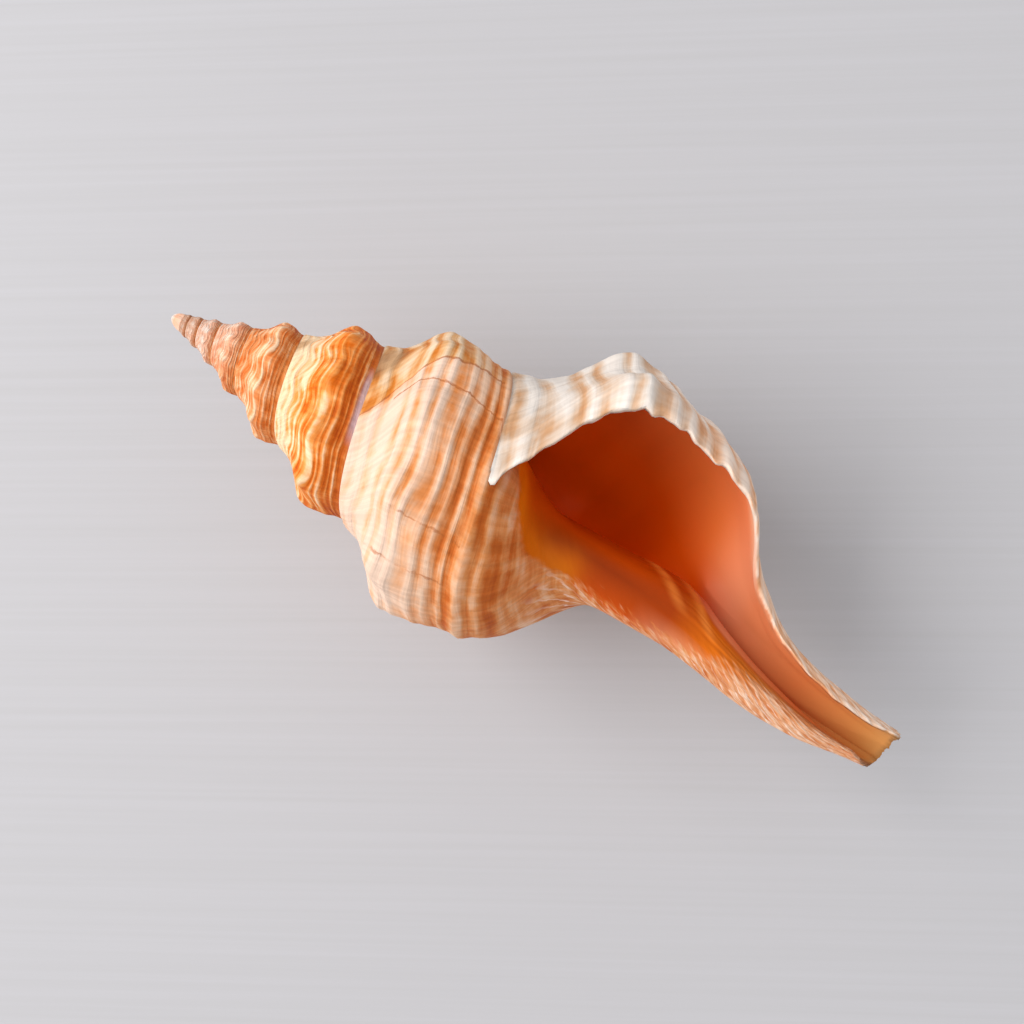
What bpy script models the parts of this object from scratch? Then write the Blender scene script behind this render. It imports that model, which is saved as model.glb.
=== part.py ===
"""Horse conch shell, one natural piece, lying on its back with the mouth up.

The shell is a tube that coils round a straight axis while it grows. Everything here is
worked out on that axis: x is the distance from the tip of the spire in millimetres, and
the turn angle runs in degrees from +Y toward +Z, 0 at the last turn's right side and more
negative toward the spire. One outside sheet and one inside sheet share their edges at the
seams, along the lip, round the canal's end and along the canal's floor, so the result is
one closed body. The last step turns it into its rest position and scales it to metres.
"""
import math

import bmesh
import bpy
import numpy as np
from mathutils import Matrix, Vector

NODE_NAME = "shell"

# Driving dimensions, in millimetres, degrees and turns
TOTAL_LENGTH = 160.2            # tip of the spire to the end of the canal
GROWTH = 1.602                  # each turn is this much larger than the one before
SEAM_X = 61.5                   # seam of the last turn at angle 0
SEAM_RADIUS_YOUNG = 23.2        # seam radius there, by the spire's proportions
SEAM_RADIUS_DROP = 2.6          # the last turns are slimmer by this
SPIRE_TURNS = 6.25
TIP_BLUNTNESS = 0.9             # the spire's tip is this much thicker than a plain cone
TIP_REACH = 6.0                 # and the thickening dies away over about this distance
HOLLOW_TURNS = 2.45             # how far the hollow runs back from the lip
TURN_GAP = 0.15                 # least room between the hollow and the turn before
LAP_TURNS = 0.9                 # from a seam point to the point of the turn before under it
FLOOR_TURNS = 0.375             # from the lip round to the middle of the canal's floor
CORD_HEIGHT = 0.34              # the surface runs along the crests of the fine spiral cords
EARLY_SHOULDER = 0.32           # near the lip the shoulder stands lower down the side
LATE_SHOULDER = 0.45            # and so it does on the turns of the spire
KNOBS_PER_TURN = 10
KNOB_HEIGHT = 2.3
KNOB_SHARE = 0.40               # how far down a turn's side the knobs stand
KNOB_WIDTH = 0.13               # in shares of the side
LIP_KNOB_HEIGHT = 0.6           # added to the knobs next to the lip
BACK_KNOB_HEIGHT = 3.2          # added to the knob that the shell lies on
BACK_KNOB_ANGLE = -113.0
BACK_KNOB_WIDTH = 17.0
BACK_RIB_HEIGHT = 2.5           # low ribs under the knobs on the back
BACK_RIB_SHARE = 0.98
BACK_RIB_WIDTH = 0.2
TURN_IN = 190.0                 # from the lip to where the surface goes in behind the mouth
TURNED_IN = 340.0
LIP_DRAW_IN = 1.5               # the lower lip stands in from the turn's outline by this
LIP_THICKNESS = 0.75
WALL_THICKNESS = 2.15
STEEPEST_WALL = 2.2             # steeper slopes do not thin the wall any more
APEX_X = 0.35
REST_PITCH = 5.0                # the spire's tip is this much higher than the canal
REST_ROLL = 0.9

# Mesh resolution
STEPS_PER_TURN = 40
SIDE_FRACTIONS = (0.0, 0.13, 0.26, 0.36, 0.44, 0.51, 0.58, 0.68, 0.83, 1.0)
BASE_COLUMNS = 6                # from the lower edge of a turn's side to the canal's root
CANAL_COLUMNS = 6
RELAX_ROUNDS = 14

BELOW_SEAM_X = SEAM_X * GROWTH  # lower edge of the last turn's side at angle 0
ROOT = 0.5                      # share of the base and canal where the canal begins
PAST_ROOT = ROOT + 1e-9

# Angle of the growing edge: down a turn's side, then over the base and along the canal
EDGE_ON_SIDE = (
    (0, 84), (0.07, 78), (0.15, 69), (0.27, 56), (0.35, 49.5), (0.47, 46.5), (0.6, 45.5),
    (0.8, 44), (1, 44),
)
EDGE_ON_BASE = (
    (0, 44), (0.16, 42), (0.32, 37), (0.5, 31), (0.6, 35), (0.75, 46), (0.88, 50), (1, 30),
)
# Distance of the lip from the tip of the spire, over the base and along the canal
LIP_X = (
    (0, 104.75), (0.16, 112), (0.32, 118.5), (0.5, 126.5), (0.68, 136.5), (0.88, 151),
    (1, TOTAL_LENGTH),
)
# How far a turn's side bulges past the straight line between its two seams
BULGE = (
    (0, 0), (0.08, 0.35), (0.16, 1.0), (0.24, 2.7), (0.32, 4.9), (0.4, 6.2), (0.48, 6.6),
    (0.58, 6.1), (0.7, 4.5), (0.82, 2.2), (0.92, 0.7), (1, 0),
)
# Radius of the base as a share of the side's lower edge, by distance below that edge
BASE_SHARE = (
    (0, 1), (4, 0.935), (7.8, 0.88), (11.6, 0.775), (15.4, 0.63), (19.2, 0.45),
    (22, 0.345), (25, 0.26), (28.5, 0.18), (32, 0.115), (36, 0.05), (40, 0),
)
# The same on the turn before, where it goes in behind the mouth
INNER_BASE_SHARE = (
    (0, 1), (4, 0.88), (8, 0.72), (12, 0.56), (16, 0.46), (20, 0.39), (24, 0.32),
    (28, 0.25), (34, 0.15), (40, 0.07), (46, 0),
)
# Canal: sideways bend of the centre line, and outer radius, by x
CANAL_BEND = (
    (90, -0.4), (110, -0.5), (117, -0.9), (125, -2.2), (129, -3.5), (137, -5.3), (145, -6.1),
    (165, -6.3),
)
CANAL_RADIUS = (
    (60, 6.5), (90, 8.7), (113, 8.9), (121, 9.2), (125, 9.2), (129, 8.5), (137, 7.4),
    (145, 6.3), (152, 5.2), (160.2, 4.5), (165, 4.4),
)
# The pillar inside the mouth: its own centre line and radius, by x
PILLAR_BEND = (
    (60, 0), (106, -0.3), (114, -1.5), (119, -3.8), (123.5, -5.5), (133, -8.0), (145, -9.9),
    (165, -11),
)
PILLAR_RADIUS = (
    (60, 3.3), (95, 3.5), (114, 4.2), (119, 4.2), (129, 3.5), (139, 2.5), (151, 1.2),
    (165, 0.5),
)
PILLAR_END_X = 152.5
# Depth of the canal's floor under its centre line, from the root to the end
FLOOR_RADIUS = ((0, 5.8), (0.25, 6.3), (0.5, 5.8), (0.75, 4.6), (1, 3.4))
FLOOR_ANGLE = -130.0

SIDE_COLUMNS = len(SIDE_FRACTIONS) - 1
CORNER = SIDE_COLUMNS + BASE_COLUMNS
LAST_COLUMN = CORNER + CANAL_COLUMNS
SPIRE_STEPS = round(SPIRE_TURNS * STEPS_PER_TURN)
HOLLOW_STEPS = round(HOLLOW_TURNS * STEPS_PER_TURN)
LAP_STEPS = round(LAP_TURNS * STEPS_PER_TURN)
FLOOR_STEPS = round(FLOOR_TURNS * STEPS_PER_TURN)


def ease(value):
    """Smooth step from 0 to 1."""
    value = np.clip(value, 0, 1)
    return value * value * (3 - 2 * value)


def curve(points, value):
    """Smooth curve through the points that never overshoots them."""
    xs, ys = np.array(points, float).T
    gaps = np.diff(xs)
    slopes = np.diff(ys) / gaps
    product = slopes[:-1] * slopes[1:]
    total = slopes[:-1] + slopes[1:]
    inner = np.where(product > 0, 2 * product / np.where(total == 0, 1, total), 0)
    tangents = np.concatenate([slopes[:1], inner, slopes[-1:]])
    value = np.clip(value, xs[0], xs[-1])
    spot = np.clip(np.searchsorted(xs, value, side="right") - 1, 0, len(gaps) - 1)
    gap = gaps[spot]
    part = (value - xs[spot]) / gap
    rise = part * part * (3 - 2 * part)
    lean_in = part * (1 - part) ** 2 * gap * tangents[spot]
    lean_out = part * part * (part - 1) * gap * tangents[spot + 1]
    return ys[spot] * (1 - rise) + ys[spot + 1] * rise + lean_in + lean_out


def bell(value, centre, width):
    return np.exp(-((value - centre) / width) ** 2)


def scale_at(angle):
    """Size of the shell when its growing edge was at this angle."""
    return GROWTH ** (np.asarray(angle, float) / 360)


def seam_radius(angle):
    """Seam radius by the last turn's measure."""
    return SEAM_RADIUS_YOUNG - SEAM_RADIUS_DROP * ease((angle + 400) / 760)


def knobs(share, angle):
    """Row of blunt knobs on the shoulder, with low ribs under those on the back."""
    crest = (0.5 + 0.5 * np.cos(np.radians(KNOBS_PER_TURN * angle))) ** 1.2
    height = KNOB_HEIGHT + LIP_KNOB_HEIGHT * ease((angle + 60) / 60) + bell(angle, -98, 40)
    height = height + BACK_KNOB_HEIGHT * bell(angle, BACK_KNOB_ANGLE, BACK_KNOB_WIDTH)
    shoulder = bell(share, KNOB_SHARE, KNOB_WIDTH) + 0.35 * bell(share, KNOB_SHARE + 0.22, 0.22)
    rib_height = BACK_RIB_HEIGHT * bell(angle, -90, 40) + 1.9 * bell(angle, BACK_KNOB_ANGLE, 15)
    back_rib = rib_height * bell(share, BACK_RIB_SHARE, BACK_RIB_WIDTH) * (0.1 + 0.9 * crest)
    return height * crest * shoulder + back_rib


def inside_share(angle, start=TURN_IN, end=TURNED_IN):
    """0 on the outside of the shell, 1 once the surface has turned in behind the mouth."""
    return ease((-angle - start) / (end - start))


def body_radius(x, angle):
    """Outside radius of the turn that passes this angle, from the axis."""
    size = scale_at(angle)
    x_now = x / size
    share = (x_now - SEAM_X) / (BELOW_SEAM_X - SEAM_X)
    on_side = np.clip(share, 0, 1)
    later = EARLY_SHOULDER * ease((angle + 130) / 130) + LATE_SHOULDER * ease((-angle - 500) / 100)
    bulge_at = np.clip(on_side - later * on_side * (1 - on_side), 0, 1)
    upper = seam_radius(angle)
    lower = GROWTH * seam_radius(angle + 360) - LIP_DRAW_IN * ease((angle + 15) / 40)
    side = upper + (lower - upper) * on_side + curve(BULGE, bulge_at)
    stretch = 0.78 + 0.36 * ease((angle + 190) / 190) - 0.36 * ease((angle + 10) / 58)
    below = (x_now - BELOW_SEAM_X) / stretch
    behind = inside_share(angle, 240, 330)
    outer_base = curve(BASE_SHARE, below)
    base = lower * (outer_base + (curve(INNER_BASE_SHARE, below) - outer_base) * behind)
    relief = knobs(np.where(share > 1, share, bulge_at), angle)
    relief = relief + CORD_HEIGHT * ease(share / 0.05) * ease((24 - below) / 10)
    tip = TIP_BLUNTNESS * np.exp(-(x / TIP_REACH) ** 2)
    return size * (np.where(share > 1, base, side) + relief) + tip


def centre_line(x, angle):
    inside = inside_share(angle, 200, 310)
    return curve(CANAL_BEND, x) * (1 - inside) + curve(PILLAR_BEND, x) * inside


def rod_radius(x, angle):
    """Outside of the canal, or the pillar where the surface has turned in."""
    inside = inside_share(angle)
    shrink = np.where(angle < -360, scale_at(angle + 360), 1.0) ** 0.6
    return curve(CANAL_RADIUS, x) * (1 - inside) + curve(PILLAR_RADIUS, x) * inside * shrink


def outer_radius(x, angle):
    """The base runs into the canal in a hollow curve."""
    body = np.maximum(body_radius(x, angle), 0)
    power = 3 - 0.8 * inside_share(angle)
    joined = (body ** power + rod_radius(x, angle) ** power) ** (1 / power)
    below = ease((x / scale_at(angle) - BELOW_SEAM_X + 2) / 8)
    return body * (1 - below) + joined * below


def ring_point(x, centre, radius, angle):
    turn = np.radians(angle)
    return np.stack([x, centre + radius * np.cos(turn), radius * np.sin(turn)], -1)


def outer_point(x, angle):
    return ring_point(x, centre_line(x, angle), outer_radius(x, angle), angle)


def wall(depth):
    """Shell thickness this many turns behind the lip."""
    share = 0.82 * ease(depth / 0.1) + 0.18 * ease(depth / 0.5)
    grown = LIP_THICKNESS + (WALL_THICKNESS - LIP_THICKNESS) * share
    return grown * scale_at(-360 * depth) ** 0.8


def inner_radius(x, angle, depth):
    """Inside of the outer wall: the outside less the wall, square to the slope."""
    step = 0.3
    slope = (body_radius(x + step, angle) - body_radius(x - step, angle)) / (2 * step)
    slope = np.clip(slope, -STEEPEST_WALL, STEEPEST_WALL)
    body = body_radius(x, angle) - wall(depth) * np.sqrt(1 + slope ** 2)
    groove = curve(CANAL_RADIUS, x) - wall(depth) - 0.03 * np.clip(40 - angle, 0, 150)
    groove = np.maximum(groove, 0.5) * (1 - ease((-angle - 30) / 110))
    return (np.maximum(body, 0) ** 4 + groove ** 4) ** 0.25


def canal_share(base_share):
    return np.clip((base_share - ROOT) / (1 - ROOT), 0, 1)


def pillar_x(base_share):
    """Where each lengthwise line of the base and canal meets the inner edge of the mouth."""
    back = scale_at(-360 * LAP_TURNS)
    root_x = curve(LIP_X, ROOT) * back
    along = canal_share(base_share)
    canal = root_x + (PILLAR_END_X - root_x) * (0.55 * along + 0.45 * ease(along))
    return np.where(base_share > ROOT, canal, curve(LIP_X, base_share) * back)


def outer_x(base_share, turned):
    """The same lines on the way round, from the lip (0) to the pillar (1)."""
    late = ease(canal_share(base_share) * 1.6)
    moved = turned * (1 - late) + ease((turned - 0.45) / 0.55) * late
    lip_x = curve(LIP_X, base_share)
    return lip_x * (pillar_x(base_share) / lip_x) ** moved


def floor_points(base_share):
    """Middle of the canal's floor, from its root deep in the mouth to the open end."""
    along = canal_share(base_share)
    start = curve(LIP_X, ROOT) * scale_at(-360 * FLOOR_TURNS)
    x = start + (TOTAL_LENGTH - 0.2 - start) * (0.6 * along + 0.4 * ease(along))
    return ring_point(x, curve(CANAL_BEND, x), curve(FLOOR_RADIUS, along), FLOOR_ANGLE + 0 * x)


def floor_pull(base_share, depth):
    """How far the canal's walls have come together; latest at its root, behind the mouth."""
    late = 0.35 + 0.55 * (1 - ease(canal_share(base_share) / 0.4))
    return ease((depth / FLOOR_TURNS - late) / (1 - late)) * (base_share > PAST_ROOT)


def toward_floor(points, base_share, depth):
    """Bring both walls of the canal together on its floor."""
    pull = floor_pull(base_share, depth)
    return points + (floor_points(base_share) - points) * pull[..., None]


def pillar_angle(base_share, depth):
    """Angle of the growth lines on the pillar: they straighten out behind the mouth."""
    settled = ease(depth / FLOOR_TURNS)
    at_mouth = curve(EDGE_ON_BASE, base_share) + 360 * (1 - LAP_TURNS)
    seam_edge = EDGE_ON_SIDE[0][1]
    deep = seam_edge + (curve(EDGE_ON_BASE, ROOT) - seam_edge) * np.clip(base_share / ROOT, 0, 1)
    return at_mouth * (1 - settled) + deep * settled - 360 * depth - 360


def side_shares():
    return np.array(SIDE_FRACTIONS)


def base_shares():
    base = np.linspace(0, ROOT, BASE_COLUMNS + 1)
    canal = np.linspace(ROOT, 1, CANAL_COLUMNS + 1)
    return np.concatenate([base, canal[1:]])


def side_row(turns):
    """One growth line down the side of a turn, this many turns behind the lip."""
    share = side_shares()
    angle = curve(EDGE_ON_SIDE, share) - 360 * turns
    return outer_point((SEAM_X + (BELOW_SEAM_X - SEAM_X) * share) * scale_at(angle), angle)


def base_row(turns):
    """The same growth line over the base and canal, outside the mouth."""
    share = base_shares()
    angle = curve(EDGE_ON_BASE, share) - 360 * turns
    return outer_point(outer_x(share, turns / LAP_TURNS), angle)


def pillar_row(depth):
    """A growth line on the pillar and on the turn before, behind the mouth."""
    share = base_shares()
    angle = pillar_angle(share, depth)
    size = scale_at(-360 * depth)
    settled = ease(depth / FLOOR_TURNS)
    top_x = SEAM_X * scale_at(EDGE_ON_SIDE[0][1] - 360 * depth)
    root_x = curve(LIP_X, ROOT) * size
    first_x = curve(LIP_X, 0)
    along = np.clip((curve(LIP_X, share) - first_x) / (curve(LIP_X, ROOT) - first_x), 0, 1)
    body_x = curve(LIP_X, share) * scale_at(-360 * LAP_TURNS) * size
    x = body_x * (1 - settled) + (top_x + (root_x - top_x) * along) * settled
    canal_x = pillar_x(share) * (1 - settled) + floor_points(share)[:, 0] * settled
    x = np.where(share > PAST_ROOT, canal_x, x)
    return toward_floor(outer_point(x, angle), share, depth)


def inside_row(depth):
    """A growth line on the inside of the outer wall, from the seam to the canal's end."""
    side = side_shares()
    base = base_shares()[1:]
    side_angle = curve(EDGE_ON_SIDE, side) - 360 * depth
    base_angle = curve(EDGE_ON_BASE, base) - 360 * depth
    side_x = (SEAM_X + (BELOW_SEAM_X - SEAM_X) * side) * scale_at(side_angle)
    body_x = curve(LIP_X, base) * scale_at(-360 * depth)
    canal_x = outer_x(base, min(depth / LAP_TURNS, 1))
    x = np.concatenate([side_x, np.where(base > PAST_ROOT, canal_x, body_x)])
    angle = np.concatenate([side_angle, base_angle])
    share = np.concatenate([side, 1 + base])
    under = outer_radius(x, angle - 360)
    closed = depth >= FLOOR_TURNS
    room = np.minimum(share / 0.12, (1 + ROOT - share) / 0.12 if closed else 1)
    radius = np.maximum(inner_radius(x, angle, depth), under + TURN_GAP * np.clip(room, 0, 1))
    behind = ease((depth - 0.6 * FLOOR_TURNS) / (0.6 * FLOOR_TURNS))
    centre = curve(CANAL_BEND, x) * (1 - behind) + centre_line(x, angle - 360) * behind
    points = ring_point(x, centre, radius, angle)
    return toward_floor(points, np.maximum(share - 1, 0), depth)


def shared_key(sheet, step, column):
    """Points where two sheets or two turns meet are one point."""
    if sheet == "inside" and column == 0:
        return ("outside", step + LAP_STEPS, SIDE_COLUMNS + 1)
    on_floor = step == FLOOR_STEPS and column >= CORNER
    in_corner = step > FLOOR_STEPS and column == CORNER
    if sheet == "inside" and (on_floor or in_corner):
        return ("outside", step + LAP_STEPS, column)
    if sheet == "outside" and column == SIDE_COLUMNS and step >= LAP_STEPS:
        return ("outside", step - LAP_STEPS, 0)
    return (sheet, step, column)


def crease_weight(base_share, depth):
    """1 along the crease where the two walls behind the mouth meet, 0 away from it."""
    if base_share > PAST_ROOT:
        near_floor = ease(1 - abs(depth - FLOOR_TURNS) / 0.16)
        return float(near_floor * (1 - ease((base_share - 0.93) / 0.07)))
    near_corner = ease(1 - (ROOT - base_share) / 0.17)
    return float(near_corner * ease((depth - FLOOR_TURNS + 0.22) / 0.12))


class ShellMesh:
    """Collects the points of both sheets by step and column, and the faces between them."""

    def __init__(self):
        self.mesh = bmesh.new()
        self.points = {}
        self.crease = {}

    def add_point(self, key, place, weight=0.0):
        if key not in self.points:
            self.points[key] = self.mesh.verts.new(place)
            self.crease[self.points[key]] = weight

    def point(self, sheet, step, column):
        return self.points[shared_key(sheet, step, column)]

    def add_face(self, *corners):
        ring = []
        for corner in corners:
            if corner not in ring:
                ring.append(corner)
        if len(ring) > 2:
            self.mesh.faces.new(ring)

    def add_patch(self, sheet, steps, columns):
        for step in steps:
            for column in columns:
                self.add_face(
                    self.point(sheet, step, column),
                    self.point(sheet, step, column + 1),
                    self.point(sheet, step + 1, column + 1),
                    self.point(sheet, step + 1, column),
                )

    def add_fan(self, loop, tip):
        middle = self.mesh.verts.new(tip)
        for first, second in zip(loop, loop[1:] + loop[:1]):
            self.add_face(first, second, middle)


def place_points(shell):
    for step in range(SPIRE_STEPS + 1):
        for column, place in enumerate(side_row(step / STEPS_PER_TURN)):
            shell.add_point(shared_key("outside", step, column), place)
    shares = base_shares()
    for step in range(LAP_STEPS + HOLLOW_STEPS + 1):
        depth = (step - LAP_STEPS) / STEPS_PER_TURN
        row = base_row(step / STEPS_PER_TURN) if step <= LAP_STEPS else pillar_row(depth)
        last = LAST_COLUMN if step <= LAP_STEPS + FLOOR_STEPS else CORNER
        for column in range(SIDE_COLUMNS + 1, last + 1):
            share = shares[column - SIDE_COLUMNS]
            weight = crease_weight(share, depth) if depth > 0 else 0.0
            shell.add_point(("outside", step, column), row[column - SIDE_COLUMNS], weight)
    for step in range(HOLLOW_STEPS + 1):
        depth = step / STEPS_PER_TURN
        row = inside_row(depth)
        last = LAST_COLUMN if step <= FLOOR_STEPS else CORNER
        for column in range(1, last + 1):
            share = shares[max(column - SIDE_COLUMNS, 0)]
            weight = crease_weight(share, depth) if column > SIDE_COLUMNS else 0.0
            shell.add_point(shared_key("inside", step, column), row[column], weight)


def join_points(shell):
    """Faces of the two sheets, without the strips buried where one turn lies on another."""
    all_columns = range(LAST_COLUMN)
    shell.add_patch("outside", range(LAP_STEPS), all_columns)
    shell.add_patch("outside", range(LAP_STEPS, SPIRE_STEPS), range(SIDE_COLUMNS))
    mouth = range(LAP_STEPS, LAP_STEPS + FLOOR_STEPS)
    shell.add_patch("outside", mouth, range(SIDE_COLUMNS + 1, LAST_COLUMN))
    deep = range(LAP_STEPS + FLOOR_STEPS, LAP_STEPS + HOLLOW_STEPS)
    shell.add_patch("outside", deep, range(SIDE_COLUMNS + 1, CORNER))
    shell.add_patch("inside", range(FLOOR_STEPS), all_columns)
    shell.add_patch("inside", range(FLOOR_STEPS, HOLLOW_STEPS), range(CORNER))


def close_edges(shell):
    """The lip, the open end of the canal, the end of the hollow and the tip of the spire."""
    for column in range(LAST_COLUMN):
        shell.add_face(
            shell.point("outside", 0, column),
            shell.point("outside", 0, column + 1),
            shell.point("inside", 0, column + 1),
            shell.point("inside", 0, column),
        )
    outer = [shell.point("outside", step, LAST_COLUMN) for step in range(LAP_STEPS + 1)]
    right = [shell.point("inside", step, LAST_COLUMN) for step in range(FLOOR_STEPS + 1)]
    left = [shell.point("outside", LAP_STEPS + step, LAST_COLUMN) for step in range(FLOOR_STEPS)]
    inner = right + left[::-1]
    facing = [round(step * (len(inner) - 1) / LAP_STEPS) for step in range(LAP_STEPS + 1)]
    for step in range(LAP_STEPS):
        first, after = inner[facing[step]], inner[facing[step + 1]]
        shell.add_face(outer[step], outer[step + 1], after, first)
    loop = [shell.point("inside", HOLLOW_STEPS, column) for column in range(CORNER + 1)]
    for column in range(CORNER - 1, SIDE_COLUMNS + 1, -1):
        loop.append(shell.point("outside", LAP_STEPS + HOLLOW_STEPS, column))
    shell.add_fan(loop, sum((vertex.co for vertex in loop), Vector()) / len(loop))
    first = SPIRE_STEPS - LAP_STEPS
    loop = [shell.point("outside", step, 0) for step in range(first, SPIRE_STEPS + 1)]
    loop += [shell.point("outside", SPIRE_STEPS, column) for column in range(1, SIDE_COLUMNS)]
    shell.add_fan(loop, (APEX_X, 0, 0))


def relax_crease(shell):
    """Round the crease behind the mouth, which the hollow's two walls make."""
    soft = [(vertex, weight) for vertex, weight in shell.crease.items() if weight > 0]
    for _ in range(RELAX_ROUNDS):
        moved = []
        for vertex, weight in soft:
            around = [edge.other_vert(vertex).co for edge in vertex.link_edges]
            mean = sum(around, Vector()) / len(around)
            moved.append(vertex.co.lerp(mean, 0.6 * weight))
        for (vertex, _weight), place in zip(soft, moved):
            vertex.co = place


def lay_down(mesh):
    """Turn the shell on to its back, set it on the ground and scale it to metres."""
    pitch = Matrix.Rotation(math.radians(REST_PITCH), 4, "Y")
    roll = Matrix.Rotation(math.radians(REST_ROLL), 4, "X")
    bmesh.ops.transform(mesh, matrix=Matrix.Scale(0.001, 4) @ pitch @ roll, verts=mesh.verts)
    low = Vector([min(vertex.co[axis] for vertex in mesh.verts) for axis in range(3)])
    high = Vector([max(vertex.co[axis] for vertex in mesh.verts) for axis in range(3)])
    middle = Vector(((low.x + high.x) / 2, (low.y + high.y) / 2, low.z))
    bmesh.ops.translate(mesh, vec=-middle, verts=mesh.verts)


def shell_material():
    material = bpy.data.materials.new("orange_cream_shell")
    material.use_nodes = True
    shader = material.node_tree.nodes["Principled BSDF"]
    shader.inputs["Base Color"].default_value = (0.78, 0.46, 0.26, 1)
    shader.inputs["Roughness"].default_value = 0.45
    shader.inputs["Metallic"].default_value = 0.0
    return material


def make_shell():
    shell = ShellMesh()
    place_points(shell)
    join_points(shell)
    relax_crease(shell)
    close_edges(shell)
    bmesh.ops.recalc_face_normals(shell.mesh, faces=shell.mesh.faces)
    bmesh.ops.triangulate(shell.mesh, faces=shell.mesh.faces, quad_method="SHORT_EDGE")
    lay_down(shell.mesh)
    data = bpy.data.meshes.new(NODE_NAME)
    shell.mesh.to_mesh(data)
    shell.mesh.free()
    data.materials.append(shell_material())
    bpy.context.scene.collection.objects.link(bpy.data.objects.new(NODE_NAME, data))


for old in list(bpy.data.objects):
    bpy.data.objects.remove(old, do_unlink=True)
make_shell()
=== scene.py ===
"""Looks of a young horse conch shell that lies on its back with the mouth up.

The shell is a tube that coils round a straight axis while it grows. Places are worked out
on that axis: x is the distance from the tip of the spire in millimetres, and the turn angle
runs in degrees from +Y toward +Z, 0 at the last turn's right side and more negative toward
the spire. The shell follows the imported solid's formulas on a finer mesh, with cords, growth
lines, scars, folds on the pillar and a scalloped lip added.
"""
import math
from types import SimpleNamespace

import bpy
import numpy as np
from mathutils import Matrix, Vector


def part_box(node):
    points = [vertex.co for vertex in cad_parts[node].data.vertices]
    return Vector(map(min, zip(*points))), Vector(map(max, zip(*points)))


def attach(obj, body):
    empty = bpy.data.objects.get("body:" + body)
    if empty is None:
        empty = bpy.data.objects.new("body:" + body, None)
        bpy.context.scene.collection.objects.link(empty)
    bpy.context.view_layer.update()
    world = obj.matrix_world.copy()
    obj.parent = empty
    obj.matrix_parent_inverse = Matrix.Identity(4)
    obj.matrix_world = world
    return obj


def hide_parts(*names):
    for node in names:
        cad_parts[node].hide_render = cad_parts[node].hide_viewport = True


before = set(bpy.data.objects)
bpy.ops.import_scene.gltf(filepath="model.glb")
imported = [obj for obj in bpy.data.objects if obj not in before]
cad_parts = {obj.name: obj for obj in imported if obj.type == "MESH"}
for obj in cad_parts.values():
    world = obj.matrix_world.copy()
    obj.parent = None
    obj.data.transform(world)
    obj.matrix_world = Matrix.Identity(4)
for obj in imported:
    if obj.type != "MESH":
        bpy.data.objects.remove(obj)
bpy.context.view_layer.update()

# ---------------- the shell's dimensions
TOTAL_LENGTH = 160.2
GROWTH = 1.602                  # each turn is this much larger than the one before
SEAM_X = 61.5                   # seam of the last turn at angle 0
SEAM_RADIUS_YOUNG = 23.2        # seam radius there, by the spire's proportions
SEAM_RADIUS_DROP = 2.6          # the last turns are slimmer by this
TIP_BLUNTNESS = 0.9             # the spire's tip is this much thicker than a plain cone
TIP_REACH = 6.0                 # and the thickening dies away over about this distance
LAP_TURNS = 0.9                 # from a seam point to the point of the turn before under it
FLOOR_TURNS = 0.375             # from the lip round to the middle of the canal's floor
HOLLOW_TURNS = 1.15             # the hollow runs back past the last place that can be seen
SPIRE_TURNS = 7.5
FOLD_PITCH = 45.0               # the folds on the pillar wind back this far in one turn
UPPER_FOLD = 149.2              # where their crests would be at the lip, were they that long
LOWER_FOLD = 156.9
FOLD_HEIGHT = 0.5
EARLY_SHOULDER = 0.32           # near the lip the shoulder stands lower down the side
LATE_SHOULDER = 0.45            # and so it does on the turns of the spire
KNOBS_PER_TURN = 10
KNOB_HEIGHT = 2.3
KNOB_SHARE = 0.40               # how far down a turn's side the knobs stand
KNOB_WIDTH = 0.13               # in shares of the side
LIP_KNOB_HEIGHT = 0.6           # added to the knobs next to the lip
BACK_KNOB_HEIGHT = 3.2          # added to the knob that the shell lies on
BACK_KNOB_ANGLE = -113.0
BACK_KNOB_WIDTH = 17.0
BACK_RIB_HEIGHT = 2.5           # low ribs under the knobs on the back
BACK_RIB_SHARE = 0.98
BACK_RIB_WIDTH = 0.2
TURN_IN = 190.0                 # from the lip to where the surface goes in behind the mouth
TURNED_IN = 340.0
LIP_DRAW_IN = 1.5               # the lower lip stands in from the turn's outline by this
LIP_THICKNESS = 0.75
WALL_THICKNESS = 2.15
STEEPEST_WALL = 2.2             # steeper slopes do not thin the wall any more
TURN_GAP = 0.15                 # least room between the hollow and the turn before
APEX_X = 0.15
REST_PITCH = 5.0                # the spire's tip is this much higher than the canal
REST_ROLL = 0.9
BELOW_SEAM_X = SEAM_X * GROWTH  # lower edge of the last turn's side at angle 0
ROOT = 0.5                      # share of the base and canal where the canal begins
PAST_ROOT = ROOT + 1e-9
CORDS = 9.0                     # raised cords down the side of the last turns
OLD_CORDS = 6.5                 # and of the turns before, which had fewer

STEPS_PER_TURN = 200
SIDE_COLUMNS = 56
BASE_COLUMNS = 26
CANAL_COLUMNS = 24
HALVE_AFTER = (3.2, 5.0)        # the small turns of the spire need fewer columns
RELAX_ROUNDS = 300

# Angle of the growing edge: down a turn's side, then over the base and along the canal
EDGE_ON_SIDE = (
    (0, 84), (0.07, 78), (0.15, 69), (0.27, 56), (0.35, 49.5), (0.47, 46.5), (0.6, 45.5),
    (0.8, 44), (1, 44),
)
EDGE_ON_BASE = (
    (0, 44), (0.16, 42), (0.32, 37), (0.5, 31), (0.6, 35), (0.75, 46), (0.88, 50), (1, 30),
)
# Distance of the lip from the tip of the spire, over the base and along the canal
LIP_X = (
    (0, 104.75), (0.16, 112), (0.32, 118.5), (0.5, 126.5), (0.68, 136.5), (0.88, 151),
    (1, TOTAL_LENGTH),
)
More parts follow.
